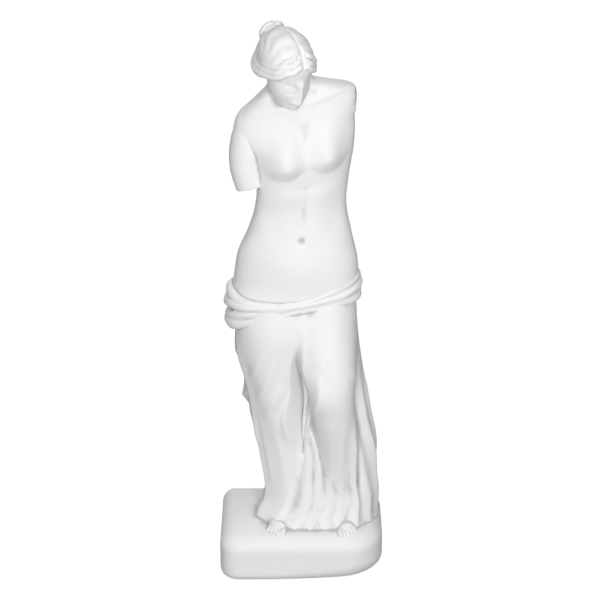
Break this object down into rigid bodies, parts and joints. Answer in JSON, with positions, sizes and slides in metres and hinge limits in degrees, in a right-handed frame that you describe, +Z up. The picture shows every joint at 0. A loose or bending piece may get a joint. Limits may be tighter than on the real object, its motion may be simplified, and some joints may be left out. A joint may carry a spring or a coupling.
{
  "type": "aphrodite statue",
  "caption": "Half-draped standing goddess with lost arms, a bowed and turned head, a rolled wrap round the hips, cast in one with its rounded block base.",
  "frame": {"origin": "centre of the base's underside", "axes": "+Z up, the figure faces -Y, +X is to the right of someone who looks at its front"},
  "size_m": [0.086, 0.06, 0.2969],
  "materials": {
    "plaster": "matt white casting plaster, bare"
  },
  "bodies": {
    "root": {"aphrodite_statue": "plaster"}
  },
  "joints": []
}
